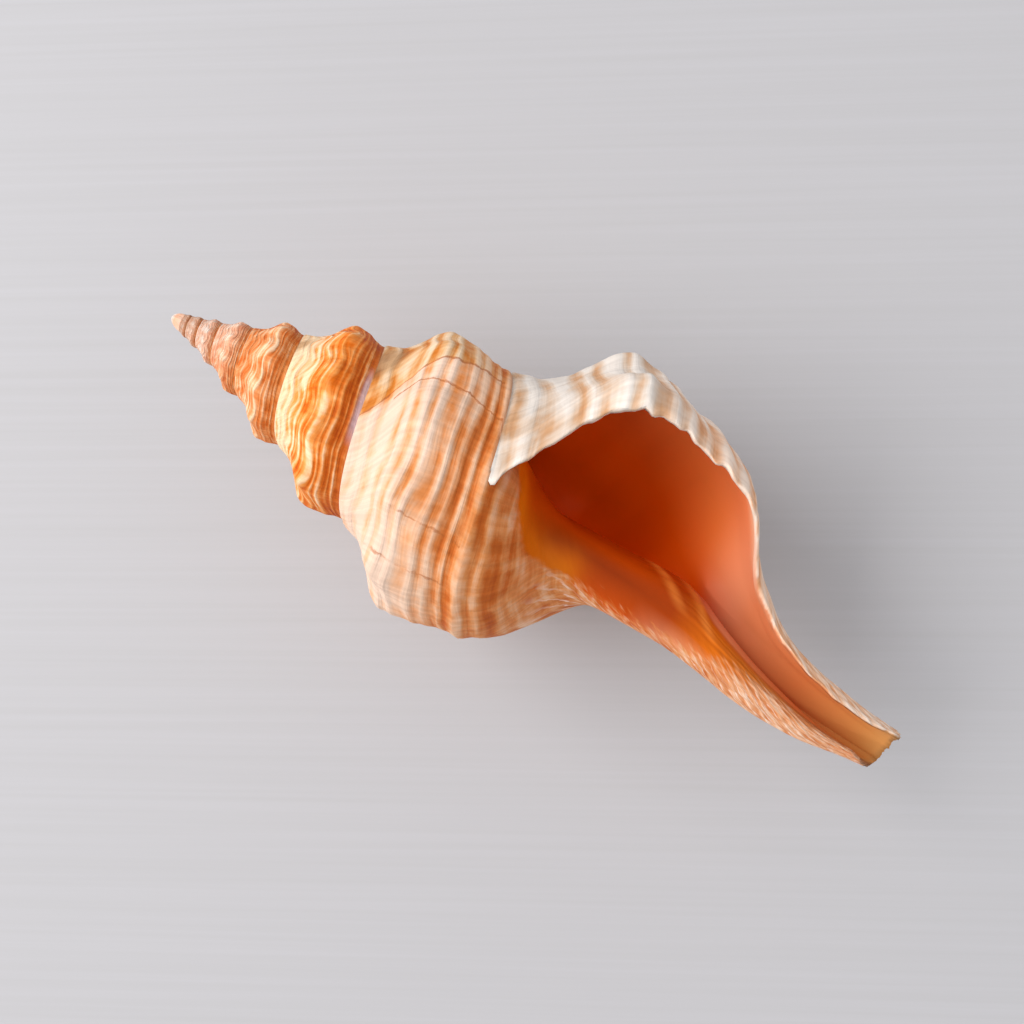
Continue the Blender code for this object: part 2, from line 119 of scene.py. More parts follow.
# How far a turn's side bulges past the straight line between its two seams
BULGE = (
    (0, 0), (0.08, 0.35), (0.16, 1.0), (0.24, 2.7), (0.32, 4.9), (0.4, 6.2), (0.48, 6.6),
    (0.58, 6.1), (0.7, 4.5), (0.82, 2.2), (0.92, 0.7), (1, 0),
)
# Radius of the base as a share of the side's lower edge, by distance below that edge
BASE_SHARE = (
    (0, 1), (4, 0.935), (7.8, 0.88), (11.6, 0.775), (15.4, 0.63), (19.2, 0.45),
    (22, 0.345), (25, 0.26), (28.5, 0.18), (32, 0.115), (36, 0.05), (40, 0),
)
# The same on the turn before, where it goes in behind the mouth
INNER_BASE_SHARE = (
    (0, 1), (4, 0.88), (8, 0.72), (12, 0.56), (16, 0.46), (20, 0.39), (24, 0.32),
    (28, 0.25), (34, 0.15), (40, 0.07), (46, 0),
)
# Canal: sideways bend of the centre line, and outer radius, by x
CANAL_BEND = (
    (90, -0.4), (110, -0.5), (117, -0.9), (125, -2.2), (129, -3.5), (137, -5.3), (145, -6.1),
    (165, -6.3),
)
CANAL_RADIUS = (
    (60, 6.5), (90, 8.7), (113, 8.9), (121, 9.2), (125, 9.2), (129, 8.5), (137, 7.4),
    (145, 6.3), (152, 5.2), (160.2, 4.5), (165, 4.4),
)
# The pillar inside the mouth: its own centre line and radius, by x
PILLAR_BEND = (
    (60, 0), (106, -0.3), (114, -1.5), (119, -3.8), (123.5, -5.5), (133, -8.0), (145, -9.9),
    (165, -11),
)
PILLAR_RADIUS = (
    (60, 3.3), (95, 3.5), (114, 4.2), (119, 4.2), (129, 3.5), (139, 2.5), (151, 1.2),
    (165, 0.5),
)
PILLAR_END_X = 152.5
# Depth of the canal's floor under its centre line, from the root to the end
FLOOR_RADIUS = ((0, 5.8), (0.25, 6.3), (0.5, 5.8), (0.75, 4.6), (1, 3.4))
FLOOR_ANGLE = -130.0

CORNER = SIDE_COLUMNS + BASE_COLUMNS
LAST_COLUMN = CORNER + CANAL_COLUMNS
SPIRE_STEPS = round(SPIRE_TURNS * STEPS_PER_TURN)
HOLLOW_STEPS = round(HOLLOW_TURNS * STEPS_PER_TURN)
LAP_STEPS = round(LAP_TURNS * STEPS_PER_TURN)
FLOOR_STEPS = round(FLOOR_TURNS * STEPS_PER_TURN)
HALVE_STEPS = [round(turns * STEPS_PER_TURN) for turns in HALVE_AFTER]


def ease(value):
    """Smooth step from 0 to 1."""
    value = np.clip(value, 0, 1)
    return value * value * (3 - 2 * value)


def curve(points, value):
    """Smooth curve through the points that never overshoots them."""
    xs, ys = np.array(points, float).T
    gaps = np.diff(xs)
    slopes = np.diff(ys) / gaps
    product = slopes[:-1] * slopes[1:]
    total = slopes[:-1] + slopes[1:]
    inner = np.where(product > 0, 2 * product / np.where(total == 0, 1, total), 0)
    tangents = np.concatenate([slopes[:1], inner, slopes[-1:]])
    value = np.clip(value, xs[0], xs[-1])
    spot = np.clip(np.searchsorted(xs, value, side="right") - 1, 0, len(gaps) - 1)
    gap = gaps[spot]
    part = (value - xs[spot]) / gap
    rise = part * part * (3 - 2 * part)
    lean_in = part * (1 - part) ** 2 * gap * tangents[spot]
    lean_out = part * part * (part - 1) * gap * tangents[spot + 1]
    return ys[spot] * (1 - rise) + ys[spot + 1] * rise + lean_in + lean_out


def bell(value, centre, width):
    return np.exp(-((value - centre) / width) ** 2)


def scale_at(angle):
    """Size of the shell when its growing edge was at this angle."""
    return GROWTH ** (np.asarray(angle, float) / 360)


def side_share(x, angle):
    """0 at a turn's own seam, 1 at the seam of the next turn, more over the base."""
    return (x / scale_at(angle) - SEAM_X) / (BELOW_SEAM_X - SEAM_X)


# ---------------- form of the outside
def seam_radius(angle):
    return SEAM_RADIUS_YOUNG - SEAM_RADIUS_DROP * ease((angle + 400) / 760)


def knobs(share, angle):
    """Row of blunt knobs on the shoulder, with low ribs under those on the back."""
    crest = (0.5 + 0.5 * np.cos(np.radians(KNOBS_PER_TURN * angle))) ** 1.2
    height = KNOB_HEIGHT + LIP_KNOB_HEIGHT * ease((angle + 60) / 60) + bell(angle, -98, 40)
    height = height + BACK_KNOB_HEIGHT * bell(angle, BACK_KNOB_ANGLE, BACK_KNOB_WIDTH)
    shoulder = bell(share, KNOB_SHARE, KNOB_WIDTH) + 0.35 * bell(share, KNOB_SHARE + 0.22, 0.22)
    rib_height = BACK_RIB_HEIGHT * bell(angle, -90, 40) + 1.9 * bell(angle, BACK_KNOB_ANGLE, 15)
    back_rib = rib_height * bell(share, BACK_RIB_SHARE, BACK_RIB_WIDTH) * (0.1 + 0.9 * crest)
    return (height * crest * shoulder + back_rib) * ease((angle + 2300) / 500)


def cord_lane(share, angle):
    """Which cord a point is on, in shares of a side: the cords swing round the knobs."""
    crest = 0.5 + 0.5 * np.cos(np.radians(KNOBS_PER_TURN * (angle - 8)))
    swing = (0.012 + 0.068 * ease((-angle - 330) / 200)) * crest * bell(share, 0.42, 0.3)
    drift = np.sin(np.radians(angle * 3.3 + 200 * share))
    drift = drift + np.sin(np.radians(angle * 7.7 - 310 * share))
    uneven = 0.016 * np.sin(14 * share + 1) + 0.009 * np.sin(33 * share + 2)
    return share + swing + 0.009 * drift + uneven


def cord_waves(lane, turns):
    """1 on the crest of a cord, 0 in the hollow; narrow crests on the older turns."""
    old = ease((turns - 1.25) / 0.4)
    young_crest = 0.5 + 0.5 * np.cos(2 * math.pi * CORDS * lane)
    old_crest = (0.5 + 0.5 * np.cos(2 * math.pi * OLD_CORDS * lane)) ** 2.2
    return young_crest * (1 - old) + old_crest * old


def cord_relief(share, turns, angle):
    """Spiral cords, strong below the shoulder and fine on the ramp above it."""
    lane = cord_lane(share, angle)
    strength = 0.6 + 0.4 * ease((share - 0.2) / 0.2)
    strength = strength * (1 - 0.5 * ease((share - 1.2) / 0.6)) * (1 - 0.3 * ease(turns - 1))
    patchy = 0.7 + 0.3 * np.sin(np.radians(angle * 5.1) + 9 * lane)
    fade = 1 - ease((turns - HALVE_AFTER[0] + 0.6) / 0.4)
    on_lip = 1 - ease((turns - 0.3) / 0.3)
    height = 0.36 + 0.16 * on_lip
    return height * (cord_waves(lane, turns) - 0.5) * patchy * strength * fade


def seam_relief(share, angle):
    """The upper edge of each turn stands a little proud of the turn before, and is ragged."""
    ragged = 1 + 0.35 * np.sin(np.radians(angle * 17)) + 0.25 * np.sin(np.radians(angle * 41 + 50))
    return 0.42 * ragged * ease(share / 0.018) * (1 - ease((share - 0.02) / 0.13))


def scar_relief(share, turns):
    """The shell grew on from a little under its broken edges."""
    early = ease((turns - 0.033 * share - 0.9905) / 0.004) * (1 - ease((turns - 1.05) / 0.1))
    late = ease((turns + 0.027 * share - 0.984) / 0.004) * (1 - ease((turns - 1.0) / 0.05))
    return 0.30 * early * (share < 0.97) + 0.16 * late * ease((share - 0.2) / 0.1)


def growth_relief(share, angle):
    """Low waves across a turn, where growth paused and went on."""
    slow = np.sin(np.radians(angle * 23 + 40 * np.sin(6 * share)))
    quick = np.sin(np.radians(angle * 61 + 80 * np.sin(4 * share + 1)))
    return 0.06 * slow + 0.04 * quick


def inside_share(angle, start=TURN_IN, end=TURNED_IN):
    """0 on the outside of the shell, 1 once the surface has turned in behind the mouth."""
    return ease((-angle - start) / (end - start))


def body_radius(x, angle, relief=True):
    """Outside radius of the turn that passes this angle, from the axis."""
    size = scale_at(angle)
    share = side_share(x, angle)
    on_side = np.clip(share, 0, 1)
    later = EARLY_SHOULDER * ease((angle + 130) / 130) + LATE_SHOULDER * ease((-angle - 500) / 100)
    bulge_at = np.clip(on_side - later * on_side * (1 - on_side), 0, 1)
    upper = seam_radius(angle)
    lower = GROWTH * seam_radius(angle + 360) - LIP_DRAW_IN * ease((angle + 15) / 40)
    plump = 1 - 0.45 * ease((-angle - 1000) / 500)
    side = upper + (lower - upper) * on_side + curve(BULGE, bulge_at) * plump
    stretch = 0.78 + 0.36 * ease((angle + 190) / 190) - 0.36 * ease((angle + 10) / 58)
    below = (x / size - BELOW_SEAM_X) / stretch
    behind = inside_share(angle, 240, 330)
    outer_base = curve(BASE_SHARE, below)
    base = lower * (outer_base + (curve(INNER_BASE_SHARE, below) - outer_base) * behind)
    radius = np.where(share > 1, base, side) + knobs(np.where(share > 1, share, bulge_at), angle)
    if relief:
        on_body = ease(share / 0.05) * ease((below < 24) * (24 - below) / 10 + (below <= 0))
        turns = (curve(EDGE_ON_SIDE, on_side) - angle) / 360
        fine = cord_relief(share, turns, angle) + growth_relief(share, angle)
        fine = fine + scar_relief(share, turns)
        step = ease((turns - 0.02) / 0.1) * (1 - 0.7 * ease((turns - 2.6) / 0.8))
        radius = radius + fine * on_body + seam_relief(share, angle) * step
    return size * radius + TIP_BLUNTNESS * np.exp(-(x / TIP_REACH) ** 2)


def centre_line(x, angle):
    inside = inside_share(angle, 200, 310)
    return curve(CANAL_BEND, x) * (1 - inside) + curve(PILLAR_BEND, x) * inside


def rod_radius(x, angle):
    """Outside of the canal, or the pillar where the surface has turned in."""
    inside = inside_share(angle)
    shrink = np.where(angle < -360, scale_at(angle + 360), 1.0) ** 0.6
    return curve(CANAL_RADIUS, x) * (1 - inside) + curve(PILLAR_RADIUS, x) * inside * shrink


def outer_radius(x, angle, relief=True):
    """The base runs into the canal in a hollow curve."""
    body = np.maximum(body_radius(x, angle, relief), 0)
    power = 3 - 0.8 * inside_share(angle)
    joined = (body ** power + rod_radius(x, angle) ** power) ** (1 / power)
    below = ease((x / scale_at(angle) - BELOW_SEAM_X + 2) / 8)
    radius = body * (1 - below) + joined * below
    if relief:
        folds = np.sin(np.radians(21 * angle + 14 * x)) + 0.6 * np.sin(np.radians(34 * angle - 9 * x))
        radius = radius - 0.14 * (1 - folds / 1.6) * ease((x - 106) / 12)
    return radius


def ring_point(x, centre, radius, angle):
    turn = np.radians(angle)
    return np.stack([x, centre + radius * np.cos(turn), radius * np.sin(turn)], -1)


def fold_relief(x, turns):
    """Two low folds wind round the pillar where the canal begins."""
    wound = FOLD_PITCH * turns + x
    folds = bell(wound, UPPER_FOLD, 1.4) + bell(wound, LOWER_FOLD, 1.7)
    shown = ease((turns - 0.83) / 0.05) * (1 - ease((turns - 1.0) / 0.06))
    return FOLD_HEIGHT * folds * shown


def outer_point(x, angle, relief=True, lift=0.0):
    radius = outer_radius(x, angle, relief) + lift
    return ring_point(x, centre_line(x, angle), radius, angle)


# ---------------- form of the inside
def wall(depth):
    """Shell thickness this many turns behind the lip."""
    share = 0.82 * ease(depth / 0.1) + 0.18 * ease(depth / 0.5)
    grown = LIP_THICKNESS + (WALL_THICKNESS - LIP_THICKNESS) * share
    return grown * scale_at(-360 * depth) ** 0.8


def inner_radius(x, angle, depth):
    """Inside of the outer wall: the outside less the wall, square to the slope."""
    step = 0.3
    slope = body_radius(x + step, angle, False) - body_radius(x - step, angle, False)
    slope = np.clip(slope / (2 * step), -STEEPEST_WALL, STEEPEST_WALL)
    body = body_radius(x, angle, False)
    around = sum(body_radius(x + shift, angle, False) for shift in (-3, -2, -1, 0, 1, 2, 3)) / 7
    rounded = bell(side_share(x, angle), 1, 0.16) * ease(depth / 0.03)
    body = body + (around - body) * rounded - wall(depth) * np.sqrt(1 + slope ** 2)
    groove = curve(CANAL_RADIUS, x) - wall(depth) - 0.03 * np.clip(40 - angle, 0, 150)
    groove = np.maximum(groove, 0.5) * (1 - ease((-angle - 30) / 110))
    return (np.maximum(body, 0) ** 4 + groove ** 4) ** 0.25


def canal_share(base_share):
    return np.clip((base_share - ROOT) / (1 - ROOT), 0, 1)


def pillar_x(base_share):
    """Where each lengthwise line of the base and canal meets the inner edge of the mouth."""
    back = scale_at(-360 * LAP_TURNS)
    root_x = curve(LIP_X, ROOT) * back
    along = canal_share(base_share)
    canal = root_x + (PILLAR_END_X - root_x) * (0.55 * along + 0.45 * ease(along))
    return np.where(base_share > ROOT, canal, curve(LIP_X, base_share) * back)


def outer_x(base_share, turned):
    """The same lines on the way round, from the lip (0) to the pillar (1)."""
    late = ease(canal_share(base_share) * 1.6)
    moved = turned * (1 - late) + ease((turned - 0.45) / 0.55) * late
    lip_x = curve(LIP_X, base_share)
    return lip_x * (pillar_x(base_share) / lip_x) ** moved


def floor_points(base_share):
    """Middle of the canal's floor, from its root deep in the mouth to the open end."""
    along = canal_share(base_share)
    start = curve(LIP_X, ROOT) * scale_at(-360 * FLOOR_TURNS)
    x = start + (TOTAL_LENGTH - 0.2 - start) * (0.6 * along + 0.4 * ease(along))
    return ring_point(x, curve(CANAL_BEND, x), curve(FLOOR_RADIUS, along), FLOOR_ANGLE + 0 * x)


def floor_pull(base_share, depth):
    """How far the canal's walls have come together; latest at its root, behind the mouth."""
    late = 0.35 + 0.55 * (1 - ease(canal_share(base_share) / 0.4))
    return ease((depth / FLOOR_TURNS - late) / (1 - late)) * (base_share > PAST_ROOT)


def toward_floor(points, base_share, depth):
    """Bring both walls of the canal together on its floor."""
    pull = floor_pull(base_share, depth)
    return points + (floor_points(base_share) - points) * pull[..., None]


def pillar_angle(base_share, depth):
    """Angle of the growth lines on the pillar: they straighten out behind the mouth."""
    settled = ease(depth / FLOOR_TURNS)
    at_mouth = curve(EDGE_ON_BASE, base_share) + 360 * (1 - LAP_TURNS)
    seam_edge = EDGE_ON_SIDE[0][1]
    deep = seam_edge + (curve(EDGE_ON_BASE, ROOT) - seam_edge) * np.clip(base_share / ROOT, 0, 1)
    return at_mouth * (1 - settled) + deep * settled - 360 * depth - 360


# ---------------- sheets of points
def lip_wave(place, turns):
    """The growing edge is finely scalloped; place runs down the side, then over the base."""
    waves = 0.5 * np.sin(2 * math.pi * CORDS * place) + 0.3 * np.sin(2 * math.pi * 14 * place + 1)
    # coarser along the canal, and drawn out to a small point by the seam
    waves = waves * (1 + 2.5 * ease((place - 1.4) / 0.2)) + 4.5 * bell(place, 0.03, 0.02)
    return waves * (1 - ease(turns / 0.03))


def ragged_end(x, base_share, angle):
    """The canal's end is broken off unevenly."""
    turn = np.radians(angle)
    bites = 0.5 + 0.3 * np.sin(7 * turn + 1) + 0.2 * np.sin(17 * turn) + 0.2 * np.sin(31 * turn)
    return x - 0.55 * bites * (base_share > 0.999)


def side_shares():
    return np.linspace(0, 1, SIDE_COLUMNS + 1)


def base_shares():
    base = np.linspace(0, ROOT, BASE_COLUMNS + 1)
    canal = np.linspace(ROOT, 1, CANAL_COLUMNS + 1)
    return np.concatenate([base, canal[1:]])


def sheet_facts(x, angle, turns, inside):
    """At each point: cord lane, turns behind the lip, x, whether inside, and side share."""
    share = side_share(x, angle)
    return np.stack([cord_lane(share, angle), turns + 0 * x, x, inside + 0 * x, share], -1)


def side_sheet():
    """Growth lines down the side of every turn, from the lip to the tip of the spire."""
    turns = np.arange(SPIRE_STEPS + 1)[:, None] / STEPS_PER_TURN
    share = side_shares()[None]
    angle = curve(EDGE_ON_SIDE, share) - 360 * turns + lip_wave(share, turns)
    x = (SEAM_X + (BELOW_SEAM_X - SEAM_X) * share) * scale_at(angle)
    return outer_point(x, angle), sheet_facts(x, angle, turns, 0)


def base_sheet():
    """The same growth lines over the base and canal, outside the mouth."""
    turns = np.arange(LAP_STEPS + 1)[:, None] / STEPS_PER_TURN
    share = base_shares()[None]
    angle = curve(EDGE_ON_BASE, share) - 360 * turns + lip_wave(1 + share, turns)
    x = ragged_end(outer_x(share, turns / LAP_TURNS), share, angle)
    lift = fold_relief(x, turns)
    return outer_point(x, angle, True, lift), sheet_facts(x, angle, turns, 0)


def pillar_sheet():
    """Growth lines on the pillar and on the turn before, behind the mouth."""
    depth = np.arange(1, HOLLOW_STEPS + 1)[:, None] / STEPS_PER_TURN
    share = base_shares()[None]
    angle = pillar_angle(share, depth)
    size = scale_at(-360 * depth)
    settled = ease(depth / FLOOR_TURNS)
    top_x = SEAM_X * scale_at(EDGE_ON_SIDE[0][1] - 360 * depth)
    root_x = curve(LIP_X, ROOT) * size
    first_x = curve(LIP_X, 0)
    along = np.clip((curve(LIP_X, share) - first_x) / (curve(LIP_X, ROOT) - first_x), 0, 1)
    body_x = curve(LIP_X, share) * scale_at(-360 * LAP_TURNS) * size
    x = body_x * (1 - settled) + (top_x + (root_x - top_x) * along) * settled
    canal_x = pillar_x(share) * (1 - settled) + floor_points(share)[..., 0] * settled
    x = np.where(share > PAST_ROOT, canal_x, x)
    lift = fold_relief(x, depth + LAP_TURNS)
    points = toward_floor(outer_point(x, angle, False, lift), share, depth)
    return points, sheet_facts(x, angle, depth + LAP_TURNS, ease(depth / 0.07))


def inside_sheet():
    """Growth lines on the inside of the outer wall, from the seam to the canal's end."""
    depth = np.arange(HOLLOW_STEPS + 1)[:, None] / STEPS_PER_TURN
    side = side_shares()[None]
    base = base_shares()[None, 1:]
    side_angle = curve(EDGE_ON_SIDE, side) - 360 * depth + lip_wave(side, depth)
    base_angle = curve(EDGE_ON_BASE, base) - 360 * depth + lip_wave(1 + base, depth)
    side_x = (SEAM_X + (BELOW_SEAM_X - SEAM_X) * side) * scale_at(side_angle)
    body_x = curve(LIP_X, base) * scale_at(-360 * depth)
    canal_x = ragged_end(outer_x(base, np.minimum(depth / LAP_TURNS, 1)), base, base_angle)
    x = np.concatenate([side_x, np.where(base > PAST_ROOT, canal_x, body_x)], 1)
    angle = np.concatenate([side_angle, base_angle], 1)
    share = np.concatenate([side, 1 + base], 1) + 0 * depth
    under = outer_radius(x, angle - 360, False)
    room_after = np.where(depth >= FLOOR_TURNS, (1 + ROOT - share) / 0.12, 1)
    room = np.minimum(share / 0.12, room_after)
    radius = np.maximum(inner_radius(x, angle, depth), under + TURN_GAP * np.clip(room, 0, 1))
    behind = ease((depth - 0.6 * FLOOR_TURNS) / (0.6 * FLOOR_TURNS))
    centre = curve(CANAL_BEND, x) * (1 - behind) + centre_line(x, angle - 360) * behind
    points = ring_point(x, centre, radius, angle)
    points = toward_floor(points, np.maximum(share - 1, 0), depth)
    return points, sheet_facts(x, angle, depth, 1)


# ---------------- one closed mesh
class ShellSkin:
    """Numbers the points of the sheets, and collects the faces with facts at each corner."""

    def __init__(self):
        inside, inside_facts = inside_sheet()
        outside = np.full((SPIRE_STEPS + 1, LAST_COLUMN + 1, 3), np.nan)
        facts = np.full((SPIRE_STEPS + 1, LAST_COLUMN + 1, 5), np.nan)
        outside[:, :SIDE_COLUMNS + 1], facts[:, :SIDE_COLUMNS + 1] = side_sheet()
        for first, sheet in ((0, base_sheet()), (LAP_STEPS + 1, pillar_sheet())):
            rows = slice(first, first + len(sheet[0]))
            outside[rows, SIDE_COLUMNS + 1:] = sheet[0][:, 1:]
            facts[rows, SIDE_COLUMNS + 1:] = sheet[1][:, 1:]
        self.places = [outside.reshape(-1, 3), inside.reshape(-1, 3)]
        self.facts = [facts.reshape(-1, 5), inside_facts.reshape(-1, 5)]
        self.starts = [0, len(self.places[0])]
        self.corners, self.notes, self.extra = [], [], []

    def key(self, sheet, step, column):
        """Where two sheets or two turns meet, they share one point."""
        if sheet == 1 and column == 0:
            return self.key(0, step + LAP_STEPS, SIDE_COLUMNS + 1)
        on_floor = step == FLOOR_STEPS and column >= CORNER
        in_corner = step > FLOOR_STEPS and column == CORNER
        if sheet == 1 and (on_floor or in_corner):
            return self.key(0, step + LAP_STEPS, column)
        if sheet == 0 and column == SIDE_COLUMNS and step >= LAP_STEPS:
            return self.key(0, step - LAP_STEPS, 0)
        return self.starts[sheet] + step * (LAST_COLUMN + 1) + column

    def note(self, sheet, step, column):
        """Facts at a corner are the sheet's own, also where it meets another."""
        spot = step * (LAST_COLUMN + 1) + column
        facts = self.facts[sheet][spot]
        if np.isnan(facts[0]):
            facts = self.facts[0][(step - LAP_STEPS) * (LAST_COLUMN + 1)]
        return facts

    def add_point(self, place):
        self.extra.append(place)
        return sum(len(sheet) for sheet in self.places) + len(self.extra) - 1

    def place_of(self, keys):
        return np.concatenate(self.places)[keys]

    def add_face(self, corners, flip=False):
        keys, notes = [], []
        for corner in corners:
            key = self.key(*corner)
            if key not in keys:
                keys.append(key)
                notes.append(self.note(*corner))
        if len(keys) > 2:
            self.corners.append(keys[::-1] if flip else keys)
            self.notes.extend(notes[::-1] if flip else notes)

    def add_patch(self, sheet, steps, columns, flip=False):
        for step in steps:
            for column in columns:
                ring = [(sheet, step, column), (sheet, step, column + 1)]
                ring += [(sheet, step + 1, column + 1), (sheet, step + 1, column)]
                self.add_face(ring, flip)


def join_sheets(skin):
    """Faces of both sheets, without the strips buried where one turn lies on another."""
    wide, narrow = HALVE_STEPS
    skin.add_patch(0, range(LAP_STEPS), range(LAST_COLUMN))
    skin.add_patch(0, range(LAP_STEPS, wide), range(SIDE_COLUMNS))
    for first, last, stride in ((wide, narrow, 2), (narrow, SPIRE_STEPS, 4)):
        for column in range(0, SIDE_COLUMNS, stride):
            half = column + stride // 2
            skin.add_face([
                (0, first, column), (0, first, half), (0, first, column + stride),
                (0, first + 1, column + stride), (0, first + 1, column),
            ])
            for step in range(first + 1, last):
                skin.add_face([
                    (0, step, column), (0, step, column + stride),
                    (0, step + 1, column + stride), (0, step + 1, column),
                ])
    mouth = range(LAP_STEPS, LAP_STEPS + FLOOR_STEPS)
    skin.add_patch(0, mouth, range(SIDE_COLUMNS + 1, LAST_COLUMN))
    deep = range(LAP_STEPS + FLOOR_STEPS, LAP_STEPS + HOLLOW_STEPS)
    skin.add_patch(0, deep, range(SIDE_COLUMNS + 1, CORNER))
    skin.add_patch(1, range(FLOOR_STEPS), range(LAST_COLUMN), flip=True)
    skin.add_patch(1, range(FLOOR_STEPS, HOLLOW_STEPS), range(CORNER), flip=True)


def close_edges(skin):
    """The lip and the open end of the canal."""
    for column in range(LAST_COLUMN):
        skin.add_face([(0, 0, column), (1, 0, column), (1, 0, column + 1), (0, 0, column + 1)])
    right = [(1, step, LAST_COLUMN) for step in range(FLOOR_STEPS + 1)]
    left = [(0, LAP_STEPS + step, LAST_COLUMN) for step in range(FLOOR_STEPS)]
    inner = right + left[::-1]
    facing = [round(step * (len(inner) - 1) / LAP_STEPS) for step in range(LAP_STEPS + 1)]
    for step in range(LAP_STEPS):
        outer = [(0, step, LAST_COLUMN), (0, step + 1, LAST_COLUMN)]
        skin.add_face([outer[0], inner[facing[step]], inner[facing[step + 1]], outer[1]])


def close_with_fan(skin, loop, middle, rings=()):
    """Close a loop toward a point, by way of smaller rings where the end is domed."""
    keys = [skin.key(*corner) for corner in loop]
    notes = [skin.note(*corner) for corner in loop]
    kept = [spot for spot in range(len(keys)) if keys[spot] != keys[spot - 1]]
    keys, notes = [keys[spot] for spot in kept], [notes[spot] for spot in kept]
    first = skin.place_of(keys)
    for out, along in rings:
        ring = middle + (first - middle) * np.array([along, out, out])
        inner = [skin.add_point(place) for place in ring]
        for spot in range(len(keys)):
            after = (spot + 1) % len(keys)
            skin.corners.append([keys[spot], keys[after], inner[after], inner[spot]])
            skin.notes.extend([notes[spot], notes[after], notes[after], notes[spot]])
        keys = inner
    tip = skin.add_point(middle)
    for spot in range(len(keys)):
        after = (spot + 1) % len(keys)
        skin.corners.append([keys[spot], keys[after], tip])
        skin.notes.extend([notes[spot], notes[after], notes[after]])


def close_ends(skin):
    loop = [(1, HOLLOW_STEPS, column) for column in range(CORNER + 1)]
    for column in range(CORNER - 1, SIDE_COLUMNS + 1, -1):
        loop.append((0, LAP_STEPS + HOLLOW_STEPS, column))
    places = skin.place_of([skin.key(*corner) for corner in loop])
    close_with_fan(skin, loop[::-1], places.mean(0))
    loop = [(0, step, 0) for step in range(SPIRE_STEPS - LAP_STEPS, SPIRE_STEPS + 1)]
    loop += [(0, SPIRE_STEPS, column) for column in range(4, SIDE_COLUMNS, 4)]
    dome = ((0.92, 0.72), (0.75, 0.45), (0.5, 0.2), (0.25, 0.05))
    close_with_fan(skin, loop, np.array([APEX_X, 0, 0]), dome)


def relax_crease(skin, points, corners):
    """Round the crease behind the mouth, which the hollow's two walls make."""
    weight = np.zeros(len(points))
    shares = base_shares()
    near_floor = (shares > PAST_ROOT) * (1 - ease((shares - 0.93) / 0.07))
    near_corner = (shares <= PAST_ROOT) * ease(1 - (ROOT - shares) / 0.17)
    for step in range(1, HOLLOW_STEPS + 1):
        depth = step / STEPS_PER_TURN
        of_floor = ease(1 - abs(depth - FLOOR_TURNS) / 0.16)
        of_corner = ease((depth - FLOOR_TURNS + 0.22) / 0.12)
        both = near_floor * of_floor + near_corner * of_corner
        last = LAST_COLUMN if step <= FLOOR_STEPS else CORNER
        for column in range(SIDE_COLUMNS + 1, last + 1):
            amount = both[column - SIDE_COLUMNS]
            if amount > 0:
                weight[skin.key(0, step + LAP_STEPS, column)] = amount
                weight[skin.key(1, step, column)] = amount
    first = np.concatenate([np.array(ring) for ring in corners])
    after = np.concatenate([np.roll(ring, -1) for ring in corners])
    pairs = np.unique(np.sort(np.stack([first, after], 1), 1), axis=0)
    pairs = pairs[(weight[pairs] > 0).any(1)]
    ends = np.concatenate([pairs, pairs[:, ::-1]])
    ends = ends[weight[ends[:, 0]] > 0]
    soft, slot = np.unique(ends[:, 0], return_inverse=True)
    count = np.bincount(slot)[:, None]
    pull = 0.6 * weight[soft][:, None]
    for _ in range(RELAX_ROUNDS):
        total = np.stack([np.bincount(slot, points[ends[:, 1], axis]) for axis in range(3)], 1)
        points[soft] += (total / count - points[soft]) * pull


def lay_down(points):
    """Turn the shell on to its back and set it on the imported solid's place, in metres."""
    pitch = Matrix.Rotation(math.radians(REST_PITCH), 3, "Y")
    roll = Matrix.Rotation(math.radians(REST_ROLL), 3, "X")
    turn = np.array(pitch @ roll)
    laid = points @ turn.T * 0.001
    low, high = (np.array(corner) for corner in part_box("shell"))
    span = laid.max(0) - laid.min(0)
    fit = (high - low) / span
    shift = low - laid.min(0) * fit
    return laid * fit + shift, turn, fit, shift


def make_shell():
    skin = ShellSkin()
    join_sheets(skin)
    close_edges(skin)
    close_ends(skin)
    points = np.concatenate(skin.places + [np.array(skin.extra)])
    relax_crease(skin, points, skin.corners)
    used, spot = np.unique(np.concatenate(skin.corners), return_inverse=True)
    laid, turn, fit, shift = lay_down(points[used])
    mesh = bpy.data.meshes.new("shell_surface")
    sizes = np.array([len(ring) for ring in skin.corners])
    mesh.vertices.add(len(used))
    mesh.vertices.foreach_set("co", laid.ravel())
    mesh.loops.add(len(spot))
    mesh.loops.foreach_set("vertex_index", spot)
    mesh.polygons.add(len(sizes))
    mesh.polygons.foreach_set("loop_start", np.concatenate([[0], np.cumsum(sizes)[:-1]]))
    mesh.update(calc_edges=True)
    mesh.validate()
    notes = np.array(skin.notes)
    for name, kind, field, values in (
        ("growth", "FLOAT_VECTOR", "vector", notes[:, :3]),
        ("coat", "FLOAT_COLOR", "color", surface_zones(points[used][spot], notes)),
        ("side", "FLOAT", "value", notes[:, 4]),
    ):
        mesh.attributes.new(name, kind, "CORNER").data.foreach_set(field, values.ravel())
    mesh.shade_smooth()
    shell = bpy.data.objects.new("horse_conch", mesh)
    bpy.context.scene.collection.objects.link(shell)
    return shell, turn, fit, shift


# Edge of the glaze beside the mouth, seen from straight above: distance from the tip of
# the spire, and the side of the axis that it reaches
GLAZE_EDGE = (
    (70, 13), (71.7, 8), (73, 5.7), (74.4, 3), (76.2, -0.7), (78.4, -3.8), (81.9, -6.2),
    (86.6, -6.9), (91.9, -6.8), (98, -7.6), (105, -8.2), (112, -8.2), (123, -7.2),
    (133, -7.2), (145, -9),
)
EYE = np.array([75.2, -1.05, 228.0])   # in millimetres, straight above the mouth


